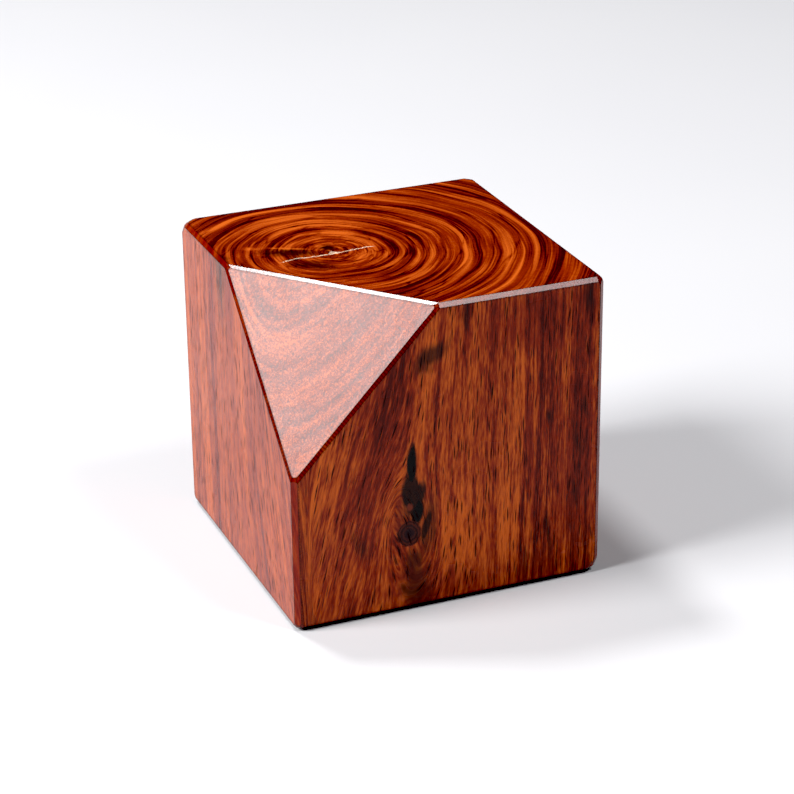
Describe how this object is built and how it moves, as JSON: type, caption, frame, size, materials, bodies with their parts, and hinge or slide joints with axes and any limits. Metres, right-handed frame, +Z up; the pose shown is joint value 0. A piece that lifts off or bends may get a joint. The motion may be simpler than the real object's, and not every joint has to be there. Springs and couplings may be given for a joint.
{
  "type": "wooden cube",
  "caption": "Solid rosewood cube with bevelled edges and one corner sawn off on the slant.",
  "frame": {"origin": "middle of the underside, as if the sawn-off corner and the bevels were still there", "axes": "+Z up along the grain and square to the top's end grain, -Y out of the side with the knot, -X out of the side left of it"},
  "size_m": [0.075, 0.0734, 0.0735],
  "materials": {
    "rosewood": "thin clear satin finish over oiled rosewood"
  },
  "bodies": {
    "root": {"wooden_cube": "rosewood"}
  },
  "joints": []
}
